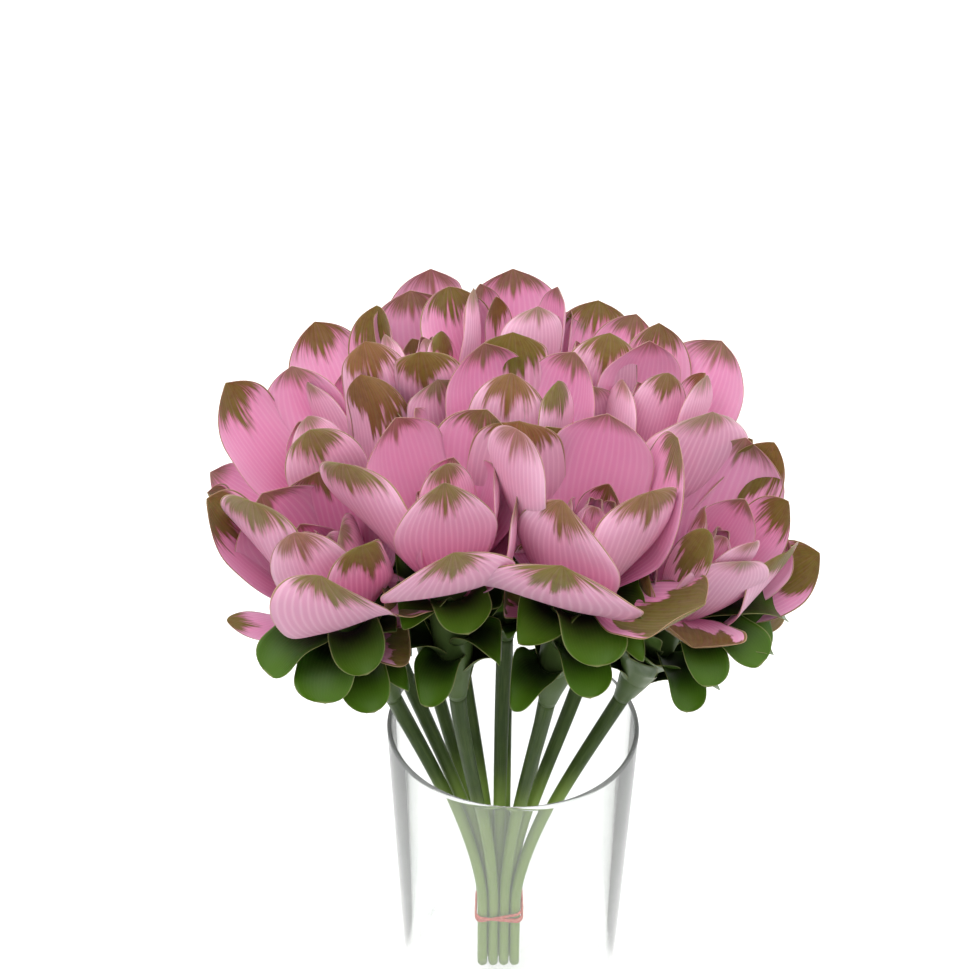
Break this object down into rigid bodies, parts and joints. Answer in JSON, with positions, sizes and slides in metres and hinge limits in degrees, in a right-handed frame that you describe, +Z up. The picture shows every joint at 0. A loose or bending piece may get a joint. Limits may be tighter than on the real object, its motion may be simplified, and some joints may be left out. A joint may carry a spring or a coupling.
{
  "type": "curcuma flower bunch in vase",
  "caption": "Tied bunch of pink curcuma blooms with green pouch bracts on long stems, standing in a straight clear glass vase.",
  "frame": {"origin": "middle of the flat underside of the vase", "axes": "+Z up along the vase, -Y towards the front of the bunch, +X to the right seen from the front"},
  "size_m": [0.2066, 0.1426, 0.3158],
  "materials": {
    "glass": "clear, smooth",
    "rubber": "matt salmon red",
    "stem_green": "smooth living stem, satin",
    "cup_green": "waxy green bracts, satin",
    "crown_pink": "pink bracts with fine veins, soft sheen"
  },
  "bodies": {
    "root": {"vase": "glass", "rubber_band": "rubber", "stem_01": "stem_green", "stem_02": "stem_green", "stem_03": "stem_green", "stem_04": "stem_green", "stem_05": "stem_green", "stem_06": "stem_green", "stem_07": "stem_green", "stem_08": "stem_green", "stem_09": "stem_green", "stem_10": "stem_green", "stem_11": "stem_green", "cup_01": "cup_green", "cup_02": "cup_green", "cup_03": "cup_green", "cup_04": "cup_green", "cup_05": "cup_green", "cup_06": "cup_green", "cup_07": "cup_green", "cup_08": "cup_green", "cup_09": "cup_green", "cup_10": "cup_green", "cup_11": "cup_green", "crown_01": "crown_pink", "crown_02": "crown_pink", "crown_03": "crown_pink", "crown_04": "crown_pink", "crown_05": "crown_pink", "crown_06": "crown_pink", "crown_07": "crown_pink", "crown_08": "crown_pink", "crown_09": "crown_pink", "crown_10": "crown_pink", "crown_11": "crown_pink"}
  },
  "joints": []
}
